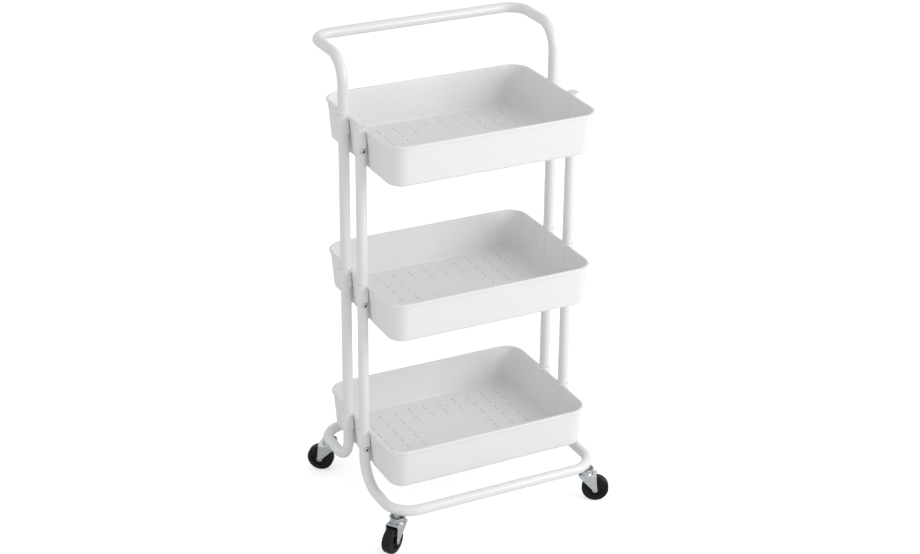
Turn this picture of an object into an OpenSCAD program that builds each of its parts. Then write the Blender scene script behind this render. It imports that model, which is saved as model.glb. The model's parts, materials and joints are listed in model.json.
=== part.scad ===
// Three-tier rolling pantry cart: moulded trays on steel tube uprights, a push
// handle bent out of the rear uprights, a bent tube base and four swivel casters.
// Origin on the floor under the middle of the cart, +Z up, +X along the long side,
// +Y to the rear, where the handle is.

/* [Trays] */
// Length of a tray over its rim
tray_l = 400; // [370:1:430]
// Width of a tray over its rim
tray_w = 295; // [280:1:310]
// Height of a tray from rim to underside
tray_h = 75; // [70:1:90]
// Corner radius of the rim in plan
rim_r = 36; // [30:1:45]
// Wall and floor thickness
wall_t = 2.4; // [1.8:0.1:3]
// Height of the lowest rim above the floor
first_rim_z = 186; // [180:1:200]
// Height from one rim to the next
tier_pitch = 287.5; // [240:0.5:320]
// Diameter of a drain hole
drain_d = 3; // [2:0.5:5]

/* [Tube frame] */
// Outside diameter of the frame tube
tube_d = 19; // [18:0.1:19.2]
// Wall thickness of the frame tube
tube_t = 1.2; // [1:0.1:1.5]
// Distance between the left and right uprights
upright_span_x = 406.8; // [406:0.2:408]
// Distance between the front and rear uprights
upright_span_y = 71.4; // [66:0.2:76]
// Height of the base tube's centre line
base_z = 78; // [77:0.5:80]
// Distance between the front and rear base bars
base_span_y = 338; // [330:1:346]

/* [Handle] */
// Height of the hand grip's centre line
grip_z = 861; // [840:1:900]
// Distance of the hand grip behind the cart's middle
grip_y = 170; // [150:1:176]

/* [Casters] */
// Wheel diameter
wheel_d = 50; // [48:1:50]
// Tyre width
tyre_w = 18; // [16:0.5:18]
// Distance of the wheel's axle from the swivel's axis
caster_trail = 18; // [16:0.5:20]

/* [Hidden] */
$fn = 64;
CORNERS = ["front_left", "front_right", "rear_left", "rear_right"];
TIERS = ["bottom", "middle", "top"];
// Left is -1 and right is +1; front is -1 and rear is +1
SIDE_X = [-1, 1, -1, 1];
SIDE_Y = [-1, -1, 1, 1];
// Direction in which each caster trails, measured from +X
CASTER_TURN = [213, -31, 142, 34];

tube_r = tube_d / 2;
bore_r = tube_r - tube_t;
upright_x = upright_span_x / 2;
upright_y = upright_span_y / 2;
base_y = base_span_y / 2;
base_bend_r = 51;
base_corner_r = 47;
// Place of a caster on its corner bend, measured from +X
stem_turn = 40;
grip_bend_r = 45;
grip_corner_r = 36;
spigot_r = bore_r - 0.1;
spigot_l = 52;
top_rim_z = first_rim_z + 2 * tier_pitch;

// Tray section: the outline starts at the edge of the flat floor slab
floor_inset = 20;
bead_w = 2.8;
bead_h = 4.5;
foot_r = 6;
draft = 5;
foot_x = floor_inset - bead_w - foot_r * cos(draft)
    - (tray_h - bead_h - foot_r + foot_r * sin(draft)) * tan(draft);
slab_r = rim_r - floor_inset;
slab_l = tray_l - 2 * floor_inset;
slab_w = tray_w - 2 * floor_inset;
// Fluted bulge of the end wall that makes room for an upright
flute_r = 15;
flute_depth = 4.2;
sleeve_r = 11.5;
sleeve_h = 33.5;
web_half_w = 4;
sleeve_play = 0.1;
// Drain holes: pairs on a grid that leaves the middle of the floor plain
drain_pitch_x = 30.5;
drain_pitch_y = 30;
drain_pair = 11;
drain_columns = 10;
drain_rows = 8;
plain_columns = 4;
plain_rows = 4;

// Screws that carry the sleeves
screw_drop = sleeve_h + 5;
screw_r = 2.4;
screw_head_r = 4.4;
screw_head_h = 2.6;
screw_l = 15;
key_af = 3;
rivnut_r = 3.4;
rivnut_flange_r = 4.9;
rivnut_flange_t = 0.8;
rivnut_l = 11;
mount_hole_r = 3.5;

// Caster stack, from the floor up
wheel_r = wheel_d / 2;
core_r = 17;
crown_z = 53.5;
crown_t = 2;
fork_t = 2;
fork_half_w = 11;
// Reach of the crown ahead of the swivel axis and behind it
crown_front = 13.5;
crown_back = 20;
ball_r = 2;
ball_ring_r = 10;
ball_z = 58.8;
ball_count = 14;
race_z = 62.5;
race_t = 2;
race_r = 14.5;
stem_r = 5;
kingpin_r = 4.9;
pin_play = 0.05;
hex_af = 14;
insert_flange_t = 1.5;
insert_r = 6.4;
axle_r = 3;
axle_head_r = 4.2;
axle_head_h = 1.2;
stem_x = upright_x - base_corner_r + base_corner_r * cos(stem_turn);
stem_y = base_y - base_corner_r + base_corner_r * sin(stem_turn);
tube_under_z = base_z - tube_r;

function arc(c, r, from, to, steps) =
    [for (k = [0:steps]) c + r * [cos(from + (to - from) * k / steps), sin(from + (to - from) * k / steps)]];

// Where a line from point p touches a circle of radius r about c, on the given side
function tangent_point(p, c, r, side) =
    let (v = p - c, a = atan2(v[1], v[0]) + side * acos(r / norm(v)))
    c + r * [cos(a), sin(a)];

// Height of rim number i above the floor
function rim_z(i) = first_rim_z + i * tier_pitch;

// Distance of the tray wall's face outside the slab edge, at height z below the rim
function wall_x(r, z) =
    foot_x + r * cos(draft) + (z + tray_h - foot_r + r * sin(draft)) * tan(draft);

// Section of the tray wall with its foot radius and its beaded rim, rim at z = 0
module wall_section() {
    foot = [foot_x, foot_r - tray_h];
    inner_r = foot_r - wall_t;
    polygon(concat(
        [[0, -tray_h]],
        arc(foot, foot_r, -90, -draft, 6),
        [[wall_x(foot_r, -bead_h), -bead_h]],
        [[floor_inset - 0.8, -bead_h]],
        arc([floor_inset - 1.8, -1.8], 1.8, 0, 90, 4),
        arc([wall_x(inner_r, 0) + 1.2, -1.2], 1.2, 90, 180, 3),
        arc(foot, inner_r, -draft, -90, 6),
        [[0, wall_t - tray_h]]
    ));
}

module straight_wall(length, half_span) {
    translate([half_span, length / 2, 0])
        rotate([90, 0, 0])
            linear_extrude(length)
                wall_section();
}

module corner_wall() {
    translate([slab_l / 2 - slab_r, slab_w / 2 - slab_r, 0])
        rotate_extrude(angle = 90)
            translate([slab_r, 0])
                wall_section();
}

module slab_outline() {
    square([slab_l - 2 * slab_r, slab_w], center = true);
    square([slab_l, slab_w - 2 * slab_r], center = true);
    for (x = [-1, 1], y = [-1, 1])
        translate([x * (slab_l / 2 - slab_r), y * (slab_w / 2 - slab_r)])
            circle(r = slab_r);
}

module drain_grid() {
    for (i = [0:drain_columns - 1], j = [0:drain_rows - 1], s = [-1, 1]) {
        column = i - (drain_columns - 1) / 2;
        row = j - (drain_rows - 1) / 2;
        if (abs(column) > plain_columns / 2 || abs(row) > plain_rows / 2)
            translate([column * drain_pitch_x, row * drain_pitch_y + s * drain_pair / 2])
                circle(d = drain_d, $fn = 24);
    }
}

module tray_shell() {
    for (m = [0, 1])
        mirror([m, 0, 0]) {
            straight_wall(slab_w - 2 * slab_r, slab_l / 2);
            for (n = [0, 1])
                mirror([0, n, 0])
                    corner_wall();
        }
    for (a = [90, 270])
        rotate([0, 0, a])
            straight_wall(slab_l - 2 * slab_r, slab_w / 2);
    translate([0, 0, -tray_h])
        linear_extrude(wall_t)
            difference() {
                slab_outline();
                drain_grid();
            }
}

// Frame of the end wall's outer face: x is outwards, z climbs with the draft
module at_end_wall() {
    translate([slab_l / 2 + wall_x(foot_r, 0), upright_y, 0])
        rotate([0, draft, 0])
            children();
}

// Bulge of the end wall into the tray, filled until the channel is cut
module flute_bulge() {
    intersection() {
        at_end_wall()
            intersection() {
                translate([flute_r - flute_depth, 0, -2 * tray_h])
                    cylinder(r = flute_r + wall_t, h = 3 * tray_h);
                translate([-50, -50, -2 * tray_h])
                    cube([49.5, 100, 3 * tray_h]);
            }
        translate([0, upright_y - 50, -tray_h])
            cube([tray_l, 100, tray_h]);
    }
}

module flute_channel() {
    intersection() {
        at_end_wall()
            translate([flute_r - flute_depth, 0, -2 * tray_h])
                cylinder(r = flute_r, h = 3 * tray_h);
        translate([0, upright_y - 50, -tray_h - 10])
            cube([tray_l, 100, tray_h + 10 - bead_h]);
    }
}

// Collar round the upright, joined to the back of the channel by a narrow web
module sleeve() {
    translate([upright_x, upright_y, -sleeve_h])
        cylinder(r = sleeve_r, h = sleeve_h);
    intersection() {
        at_end_wall()
            translate([-flute_depth - wall_t / 2, -web_half_w, -2 * tray_h])
                cube([40, 2 * web_half_w, 3 * tray_h]);
        translate([0, upright_y - web_half_w, -sleeve_h])
            cube([upright_x, 2 * web_half_w, sleeve_h]);
    }
}

module each_upright() {
    for (m = [0, 1], n = [0, 1])
        mirror([m, 0, 0])
            mirror([0, n, 0])
                children();
}

module tray(i) {
    color("white")
        translate([0, 0, rim_z(i)])
            difference() {
                union() {
                    difference() {
                        union() {
                            tray_shell();
                            each_upright()
                                flute_bulge();
                        }
                        each_upright()
                            flute_channel();
                    }
                    each_upright()
                        sleeve();
                }
                each_upright()
                    translate([upright_x, upright_y, -sleeve_h - 1])
                        cylinder(r = tube_r + sleeve_play, h = sleeve_h + 2);
            }
}

// A quarter of a tube bend of radius bend_r, from +X round to +Y
module quarter_bend(bend_r, r) {
    rotate_extrude(angle = 90)
        translate([bend_r, 0])
            circle(r = r);
}

// Right half of the rear base tube as a solid rod of radius r
module base_rod(r, over) {
    bend_y = upright_y + base_bend_r;
    corner_y = base_y - base_corner_r;
    translate([upright_x, upright_y, base_z + base_bend_r])
        cylinder(r = r, h = first_rim_z + over - base_z - base_bend_r);
    translate([upright_x, bend_y, base_z + base_bend_r])
        rotate([90, 0, -90])
            mirror([0, 1, 0])
                quarter_bend(base_bend_r, r);
    translate([upright_x, bend_y, base_z])
        rotate([-90, 0, 0])
            cylinder(r = r, h = corner_y - bend_y);
    translate([upright_x - base_corner_r, corner_y, base_z])
        quarter_bend(base_corner_r, r);
    translate([0, base_y, base_z])
        rotate([0, 90, 0])
            cylinder(r = r, h = upright_x - base_corner_r);
}

// Radial hole for the rivet nut of tier i, through the outward side of an upright
module screw_hole(i) {
    translate([upright_x, upright_y, rim_z(i) - screw_drop])
        rotate([-90, 0, 0])
            cylinder(r = mount_hole_r, h = tube_d);
}

module base_tube(y) {
    color("whitesmoke")
        mirror([0, y < 0 ? 1 : 0, 0])
            difference() {
                for (m = [0, 1])
                    mirror([m, 0, 0])
                        base_rod(tube_r, 0);
                for (m = [0, 1])
                    mirror([m, 0, 0]) {
                        base_rod(bore_r, 1);
                        screw_hole(0);
                        translate([stem_x, stem_y, tube_under_z - 2])
                            cylinder(r = insert_r + 0.1, h = tube_r);
                    }
            }
}

// Straight upright standing on rim i, with a swaged spigot that plugs into the tube below
module upright(i, x, y) {
    color("whitesmoke")
        mirror([x < 0 ? 1 : 0, 0, 0])
            mirror([0, y < 0 ? 1 : 0, 0])
                difference() {
                    translate([upright_x, upright_y, 0])
                        upright_tube(i);
                    screw_hole(i);
                    screw_hole(i + 1);
                }
}

module upright_tube(i) {
    difference() {
        union() {
            translate([0, 0, rim_z(i)])
                cylinder(r = tube_r, h = tier_pitch);
            translate([0, 0, rim_z(i) - spigot_l])
                cylinder(r = spigot_r, h = spigot_l);
        }
        translate([0, 0, rim_z(i) - spigot_l - 1])
            cylinder(r = spigot_r - tube_t, h = spigot_l + 3);
        translate([0, 0, rim_z(i) + 2])
            cylinder(r = bore_r, h = tier_pitch);
    }
}

// Right half of the handle above the top rim as a solid rod of radius r
module handle_rod(r, from_z) {
    bend_y = upright_y + grip_bend_r;
    corner_y = grip_y - grip_corner_r;
    translate([upright_x, upright_y, from_z])
        cylinder(r = r, h = grip_z - grip_bend_r - from_z);
    translate([upright_x, bend_y, grip_z - grip_bend_r])
        rotate([90, 0, -90])
            quarter_bend(grip_bend_r, r);
    translate([upright_x, bend_y, grip_z])
        rotate([-90, 0, 0])
            cylinder(r = r, h = corner_y - bend_y);
    translate([upright_x - grip_corner_r, corner_y, grip_z])
        quarter_bend(grip_corner_r, r);
    translate([0, grip_y, grip_z])
        rotate([0, 90, 0])
            cylinder(r = r, h = upright_x - grip_corner_r);
}

module handle_tube() {
    color("whitesmoke")
        difference() {
            for (m = [0, 1])
                mirror([m, 0, 0]) {
                    handle_rod(tube_r, top_rim_z);
                    translate([upright_x, upright_y, top_rim_z - spigot_l])
                        cylinder(r = spigot_r, h = spigot_l);
                }
            for (m = [0, 1])
                mirror([m, 0, 0]) {
                    handle_rod(bore_r, top_rim_z + 2);
                    translate([upright_x, upright_y, top_rim_z - spigot_l - 1])
                        cylinder(r = spigot_r - tube_t, h = spigot_l + 4);
                    screw_hole(2);
                }
        }
}

// Plug with a low domed head that closes a front upright above the top tray
module end_cap(x) {
    head_r = sleeve_r - 0.3;
    head_h = 2.2;
    edge_r = 0.8;
    plug_l = 16;
    color("white")
        translate([x * upright_x, -upright_y, top_rim_z]) {
            rotate_extrude()
                polygon(concat(
                    [[0, 0], [head_r, 0], [head_r, head_h - edge_r]],
                    arc([head_r - edge_r, head_h - edge_r], edge_r, 0, 90, 4),
                    [[0, head_h]]
                ));
            difference() {
                translate([0, 0, -plug_l])
                    cylinder(r = bore_r - 0.05, h = plug_l);
                translate([0, 0, -plug_l - 1])
                    cylinder(r = bore_r - 2, h = plug_l - 1);
            }
        }
}

// The four fastener places of tier i, each with +Z pointing out of the upright
module each_screw(i) {
    for (m = [0, 1], n = [0, 1])
        mirror([m, 0, 0])
            mirror([0, n, 0])
                translate([upright_x, upright_y + tube_r, rim_z(i) - screw_drop])
                    rotate([-90, 0, 0])
                        children();
}

module rivet_nut() {
    difference() {
        union() {
            translate([0, 0, -rivnut_l])
                cylinder(r = rivnut_r, h = rivnut_l);
            cylinder(r = rivnut_flange_r, h = rivnut_flange_t);
        }
        translate([0, 0, -rivnut_l - 1])
            cylinder(r = screw_r + 0.05, h = rivnut_l + 3);
    }
}

module rivet_nuts(i) {
    color("silver")
        each_screw(i)
            rivet_nut();
}

// Button-head screw with a hexagon socket
module tray_screw() {
    dome_r = 5.2;
    difference() {
        union() {
            translate([0, 0, -screw_l])
                cylinder(r = screw_r, h = screw_l);
            intersection() {
                cylinder(r = screw_head_r, h = screw_head_h);
                translate([0, 0, screw_head_h - dome_r])
                    sphere(r = dome_r);
            }
        }
        translate([0, 0, screw_head_h - 1.6])
            cylinder(d = key_af / cos(30), h = 2, $fn = 6);
    }
}

module tray_screws(i) {
    color("dimgray")
        each_screw(i)
            translate([0, 0, rivnut_flange_t])
                tray_screw();
}

// Threaded inserts riveted into the underside of the base tube's corners
module caster_inserts() {
    color("silver")
        for (i = [0:3])
            translate([SIDE_X[i] * stem_x, SIDE_Y[i] * stem_y, tube_under_z])
                difference() {
                    union() {
                        cylinder(r = insert_r, h = 15);
                        translate([0, 0, -insert_flange_t])
                            cylinder(r = 8, h = insert_flange_t - 0.05);
                        translate([0, 0, -0.5])
                            cylinder(r = insert_r, h = 1);
                    }
                    translate([0, 0, -5])
                        cylinder(r = stem_r + 0.05, h = 25);
                }
}

// Places a caster part, modelled with the swivel axis on Z and the trail along +X
module at_caster(i) {
    translate([SIDE_X[i] * stem_x, SIDE_Y[i] * stem_y, 0])
        rotate([0, 0, CASTER_TURN[i]])
            children();
}

// Threaded stem with a hexagon, and a kingpin below it that is headed over under the fork
module caster_stem() {
    hex_top = tube_under_z - insert_flange_t;
    color("silver") {
        translate([0, 0, race_z])
            cylinder(d = hex_af / cos(30), h = hex_top - race_z, $fn = 6);
        translate([0, 0, race_z + 1])
            cylinder(r = stem_r, h = 20);
        translate([0, 0, crown_z - 2])
            cylinder(r = kingpin_r, h = race_z - crown_z + 3);
        translate([0, 0, crown_z - 2.6])
            cylinder(r = 7.5, h = 2.1);
    }
}

module ball_groove(r) {
    translate([0, 0, ball_z])
        rotate_extrude()
            translate([ball_ring_r, 0])
                circle(r = r);
}

// Fixed upper race, pressed with a lip that shields the balls and a flared rim above it
module upper_race() {
    lip_t = 1.5;
    lip_h = 5;
    rim_h = 2.5;
    dish_r = 9.5;
    rim_edge = 0.8;
    color("silver")
        difference() {
            translate([0, 0, race_z - lip_h])
                cylinder(r = race_r, h = lip_h + rim_h);
            translate([0, 0, race_z])
                cylinder(r1 = dish_r, r2 = 2 * (race_r - rim_edge) - dish_r, h = 2 * rim_h);
            translate([0, 0, race_z - lip_h - 1])
                cylinder(r = race_r - lip_t, h = lip_h + 1 - race_t);
            translate([0, 0, race_z - lip_h])
                cylinder(r = kingpin_r + pin_play, h = lip_h + 1);
            ball_groove(ball_r + 0.3);
        }
}

module race_balls() {
    color("lightgray")
        for (k = [0:ball_count - 1])
            rotate([0, 0, k * 360 / ball_count])
                translate([ball_ring_r, 0, ball_z])
                    sphere(r = ball_r, $fn = 32);
}

// Side view of a fork leg, tapering from the crown down to the eye round the axle
module leg_profile() {
    eye_r = 5;
    neck_r = 4.2;
    axle_at = [caster_trail, wheel_r];
    front = [-crown_front, crown_z - 1.5];
    back = [crown_back, crown_z - 1.5];
    polygon([
        [-crown_front, crown_z + crown_t],
        front,
        tangent_point(front, axle_at, neck_r, 1),
        axle_at,
        tangent_point(back, axle_at, neck_r, -1),
        back,
        [crown_back, crown_z + crown_t],
    ]);
    translate(axle_at)
        circle(r = eye_r);
}

module fork() {
    color("silver")
        difference() {
            union() {
                for (s = [-1, 1])
                    translate([0, s * (fork_half_w + fork_t / 2) + fork_t / 2, 0])
                        rotate([90, 0, 0])
                            linear_extrude(fork_t)
                                leg_profile();
                translate([-crown_front, -fork_half_w - 0.5, crown_z])
                    cube([crown_front + crown_back, 2 * fork_half_w + 1, crown_t]);
                translate([0, 0, crown_z])
                    cylinder(r = race_r, h = crown_t);
                translate([0, 0, crown_z])
                    cylinder(r = 12.5, h = crown_t + 1.8);
            }
            ball_groove(ball_r + 0.1);
            translate([0, 0, crown_z - 1])
                cylinder(r = kingpin_r + pin_play, h = 10);
            translate([caster_trail, 50, wheel_r])
                rotate([90, 0, 0])
                    cylinder(r = axle_r + pin_play, h = 100);
        }
}

// Axle bolt with a flat head outside one leg, and a socket in each of its ends
module axle_bolt() {
    socket_r = 1.9;
    socket_depth = 2.2;
    outside = fork_half_w + fork_t;
    over = outside + axle_head_h;
    color("silver")
        translate([caster_trail, 0, wheel_r])
            rotate([90, 0, 0])
                difference() {
                    union() {
                        translate([0, 0, -over])
                            cylinder(r = axle_r, h = over + outside + axle_head_h / 2);
                        translate([0, 0, outside])
                            cylinder(r = axle_head_r, h = axle_head_h);
                    }
                    for (m = [0, 1])
                        mirror([0, 0, m])
                            translate([0, 0, over - socket_depth])
                                cylinder(r = socket_r, h = socket_depth + 1);
                }
}

// Round nut, as flat as the bolt's head
module axle_nut() {
    color("silver")
        translate([caster_trail, fork_half_w + fork_t, wheel_r])
            rotate([-90, 0, 0])
                difference() {
                    cylinder(r = axle_head_r, h = axle_head_h);
                    translate([0, 0, -1])
                        cylinder(r = axle_r + pin_play, h = axle_head_h + 2);
                }
}

// Wheel core with a dished face each side and a plain bore
module wheel_core() {
    boss_half = fork_half_w - 0.5;
    dish = 4;
    color([0.12, 0.12, 0.13])
        translate([caster_trail, 0, wheel_r])
            rotate([90, 0, 0])
                difference() {
                    union() {
                        translate([0, 0, -tyre_w / 2])
                            cylinder(r = core_r, h = tyre_w);
                        translate([0, 0, -boss_half])
                            cylinder(r = 6, h = 2 * boss_half);
                    }
                    for (m = [0, 1])
                        mirror([0, 0, m])
                            translate([0, 0, tyre_w / 2 - dish])
                                difference() {
                                    cylinder(r = core_r - 2.5, h = dish + 3);
                                    translate([0, 0, -1])
                                        cylinder(r = 6, h = dish + 5);
                                }
                    translate([0, 0, -20])
                        cylinder(r = axle_r + pin_play, h = 40);
                }
}

module tyre() {
    shoulder_r = 4;
    color([0.06, 0.06, 0.06])
        translate([caster_trail, 0, wheel_r])
            rotate([90, 0, 0])
                rotate_extrude($fn = 96) {
                    translate([core_r + 0.05, -tyre_w / 2])
                        square([wheel_r - core_r - shoulder_r, tyre_w]);
                    translate([core_r + 0.05, shoulder_r - tyre_w / 2])
                        square([wheel_r - core_r - 0.05, tyre_w - 2 * shoulder_r]);
                    for (s = [-1, 1])
                        translate([wheel_r - shoulder_r, s * (tyre_w / 2 - shoulder_r)])
                            circle(r = shoulder_r);
                }
}

CASTER_PARTS = ["stem", "upper_race", "race_balls", "fork", "axle_bolt", "axle_nut", "wheel_core", "tyre"];

for (i = [0:2]) {
    tray(i);
    tray_screws(i);
    rivet_nuts(i);
}
base_tube(-1);  // base_tube_front
base_tube(1);  // base_tube_rear
handle_tube();
end_cap(-1);  // end_cap_left
end_cap(1);  // end_cap_right
caster_inserts();
for (i = [0:3]) {
    upright(0, SIDE_X[i], SIDE_Y[i]);
    upright(1, SIDE_X[i], SIDE_Y[i]);
    at_caster(i) caster_stem();
    at_caster(i) upper_race();
    at_caster(i) race_balls();
    at_caster(i) fork();
    at_caster(i) axle_bolt();
    at_caster(i) axle_nut();
    at_caster(i) wheel_core();
    at_caster(i) tyre();
}
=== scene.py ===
import json
import math

import bmesh
import bpy
import numpy as np
from mathutils import Matrix, Vector


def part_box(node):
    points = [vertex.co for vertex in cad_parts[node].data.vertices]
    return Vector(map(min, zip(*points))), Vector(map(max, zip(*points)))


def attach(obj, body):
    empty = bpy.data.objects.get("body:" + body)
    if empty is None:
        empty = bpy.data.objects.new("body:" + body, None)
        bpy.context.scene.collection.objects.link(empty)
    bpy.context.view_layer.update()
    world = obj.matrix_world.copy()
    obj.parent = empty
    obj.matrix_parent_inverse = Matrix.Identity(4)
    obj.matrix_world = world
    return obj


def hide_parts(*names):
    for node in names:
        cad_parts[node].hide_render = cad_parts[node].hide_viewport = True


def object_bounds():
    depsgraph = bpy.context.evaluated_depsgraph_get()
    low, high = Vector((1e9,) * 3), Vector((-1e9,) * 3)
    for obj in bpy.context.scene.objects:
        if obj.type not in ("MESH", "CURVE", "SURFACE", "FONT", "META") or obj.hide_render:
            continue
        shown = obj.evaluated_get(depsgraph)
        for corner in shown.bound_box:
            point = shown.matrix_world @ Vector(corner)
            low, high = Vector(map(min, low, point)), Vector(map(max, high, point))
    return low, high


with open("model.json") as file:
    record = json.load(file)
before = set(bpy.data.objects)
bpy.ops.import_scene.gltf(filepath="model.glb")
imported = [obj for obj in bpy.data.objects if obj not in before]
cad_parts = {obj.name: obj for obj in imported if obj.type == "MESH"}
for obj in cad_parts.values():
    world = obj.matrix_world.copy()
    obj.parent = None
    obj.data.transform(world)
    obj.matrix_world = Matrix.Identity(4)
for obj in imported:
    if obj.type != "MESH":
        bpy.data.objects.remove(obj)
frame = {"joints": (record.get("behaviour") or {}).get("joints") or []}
cad_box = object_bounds()

MM = 0.001
TIERS = ("bottom", "middle", "top")
CORNERS = ("front_left", "front_right", "rear_left", "rear_right")
SCENE = bpy.context.scene


# ---------------------------------------------------------------- sizes of the frame and trays
def box_middle(node_name):
    """The middle of a CAD node's box."""
    low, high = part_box(node_name)
    return (low + high) / 2


upright_low, upright_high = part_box("lower_upright_rear_right")
UPRIGHT_X = box_middle("lower_upright_rear_right").x
UPRIGHT_Y = box_middle("lower_upright_rear_right").y
TUBE_R = (upright_high.x - upright_low.x) / 2
TUBE_T = 1.2 * MM
RIM_Z = {tier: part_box(f"tray_{tier}")[1].z for tier in TIERS}
TIER_PITCH = RIM_Z["middle"] - RIM_Z["bottom"]
SPIGOT_R = TUBE_R - TUBE_T - 0.1 * MM
SPIGOT_L = RIM_Z["bottom"] - upright_low.z

tray_low, tray_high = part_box("tray_top")
TRAY_H = tray_high.z - tray_low.z
TRAY_W = tray_high.y - tray_low.y
TRAY_L = 400 * MM
RIM_R = 36 * MM
WALL_T = 2.4 * MM
FLOOR_INSET = 20 * MM
BEAD_H = 4.5 * MM
BEAD_W = 2.8 * MM
BEAD_R = 1.8 * MM
LIP_R = 1.2 * MM
FOOT_R = 6 * MM
DRAFT = math.radians(5)
SLAB_R = RIM_R - FLOOR_INSET
SLAB_X = TRAY_L / 2 - FLOOR_INSET
SLAB_Y = TRAY_W / 2 - FLOOR_INSET
FOOT_D = (
    FLOOR_INSET
    - BEAD_W
    - FOOT_R * math.cos(DRAFT)
    - (TRAY_H - BEAD_H - FOOT_R + FOOT_R * math.sin(DRAFT)) * math.tan(DRAFT)
)
FLUTE_R = 15 * MM
FLUTE_DEPTH = 4.2 * MM
SLEEVE_R = tray_high.x - UPRIGHT_X
SLEEVE_H = 33.5 * MM
WEB_HALF_W = 4 * MM
SLEEVE_PLAY = 0.1 * MM
RIVET_FLANGE_T = 0.8 * MM


# ---------------------------------------------------------------- small tools
def linear(code):
    """A linear colour from a six-figure sRGB hex value."""
    parts = [int(code[i : i + 2], 16) / 255 for i in (0, 2, 4)]
    return (*[c / 12.92 if c <= 0.04045 else ((c + 0.055) / 1.055) ** 2.4 for c in parts], 1.0)


def node(tree, kind, links=None, **settings):
    """Adds a node with its settings, and fills its inputs from sockets or plain values."""
    made = tree.nodes.new(kind)
    for name, value in settings.items():
        setattr(made, name, value)
    for key, value in (links or {}).items():
        if isinstance(value, bpy.types.NodeSocket):
            tree.links.new(value, made.inputs[key])
        else:
            made.inputs[key].default_value = value
    return made


def maths(tree, operation, *values):
    """What a math node makes of sockets or plain numbers."""
    made = node(tree, "ShaderNodeMath", dict(enumerate(values)), operation=operation)
    return made.outputs[0]


def arc(x, y, r, start, end, steps):
    """Points of an arc about (x, y), with its angles in degrees."""
    angles = [math.radians(start + (end - start) * k / steps) for k in range(steps + 1)]
    return [(x + r * math.cos(a), y + r * math.sin(a)) for a in angles]


def piece(name, mesh, slot, body, replaced):
    """A finished piece at the origin: merged, facing outwards and smooth up to its sharp edges."""
    sharp = math.radians(34)
    outward(mesh)
    mesh.shade_smooth()
    mesh.set_sharp_from_angle(angle=sharp)
    mesh.materials.clear()
    mesh.materials.append(MATERIAL[slot])
    made = bpy.data.objects.new(name, mesh)
    SCENE.collection.objects.link(made)
    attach(made, body)
    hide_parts(replaced)
    return made


def mesh_of(name, points, faces):
    """A mesh from its points and the faces between them."""
    mesh = bpy.data.meshes.new(name)
    mesh.from_pydata([tuple(p) for p in points], [], faces)
    return mesh


def grid_faces(rows, columns, wrap_rows=False, wrap_columns=False, start=0):
    """Quads over a grid of points kept row by row, closed round either way if asked."""
    faces = []
    for i in range(rows if wrap_rows else rows - 1):
        for j in range(columns if wrap_columns else columns - 1):
            a, b = i * columns, (i + 1) % rows * columns
            k = (j + 1) % columns
            faces.append((start + a + j, start + a + k, start + b + k, start + b + j))
    return faces


def turned(name, rings, segments=64, closed=False):
    """A shape turned about Z from rings of (radius, height). A radius may be a function of the angle.

    The first and last rings are capped, unless the profile is closed on itself."""
    angles = [2 * math.pi * k / segments for k in range(segments)]
    points = []
    for radius, height in rings:
        for a in angles:
            r = radius(a) if callable(radius) else radius
            points.append((r * math.cos(a), r * math.sin(a), height))
    faces = grid_faces(len(rings), segments, wrap_rows=closed, wrap_columns=True)
    if not closed:
        faces.append(tuple(range(segments)))
        faces.append(tuple((len(rings) - 1) * segments + k for k in range(segments)))
    return mesh_of(name, points, faces)


def outward(mesh):
    """Merges points that meet and turns every face outwards."""
    work = bmesh.new()
    work.from_mesh(mesh)
    bmesh.ops.remove_doubles(work, verts=work.verts, dist=0.002 * MM)
    bmesh.ops.recalc_face_normals(work, faces=work.faces)
    work.to_mesh(mesh)
    work.free()
    return mesh


def is_level(face):
    return abs(face.normal.z) > 0.9999


def with_painted_recess_shade(mesh, test):
    """Marks the points of a deep recess, which the metals darken with painted shade."""
    depth = mesh.attributes.new("recess", "FLOAT", "POINT")
    depth.data.foreach_set("value", [float(test(vertex.co)) for vertex in mesh.vertices])
    return mesh


def hexagon(across_flats, cone=None):
    """Radius of a hexagon as a function of the angle, cut back to a cone's radius where one is given."""

    def radius(angle):
        from_flat = (angle + math.pi / 6) % (math.pi / 3) - math.pi / 6
        r = across_flats / 2 / math.cos(from_flat)
        return min(r, cone) if cone else r

    return radius


def joined(name, meshes):
    """One mesh out of several."""
    points, faces = [], []
    for mesh in meshes:
        start = len(points)
        points += [v.co.copy() for v in mesh.vertices]
        faces += [tuple(start + k for k in p.vertices) for p in mesh.polygons]
        bpy.data.meshes.remove(mesh)
    return mesh_of(name, points, faces)


def moved(mesh, matrix):
    """The same mesh, put in another place."""
    mesh.transform(matrix)
    return mesh


def new_tree(name, sizes):
    """A geometry tree with named inputs, and its input and output nodes."""
    tree = bpy.data.node_groups.new(name, "GeometryNodeTree")
    tree.interface.new_socket("Geometry", in_out="INPUT", socket_type="NodeSocketGeometry")
    for label, kind in sizes:
        tree.interface.new_socket(label, in_out="INPUT", socket_type=f"NodeSocket{kind}")
    tree.interface.new_socket("Geometry", in_out="OUTPUT", socket_type="NodeSocketGeometry")
    return tree, node(tree, "NodeGroupInput").outputs


def end_tree(tree, geometry, material):
    """Ends a geometry tree with real, painted geometry."""
    real = node(tree, "GeometryNodeRealizeInstances", {"Geometry": geometry})
    painted = node(tree, "GeometryNodeSetMaterial", {"Geometry": real.outputs[0], "Material": material})
    node(tree, "NodeGroupOutput", {"Geometry": painted.outputs[0]})


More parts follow.
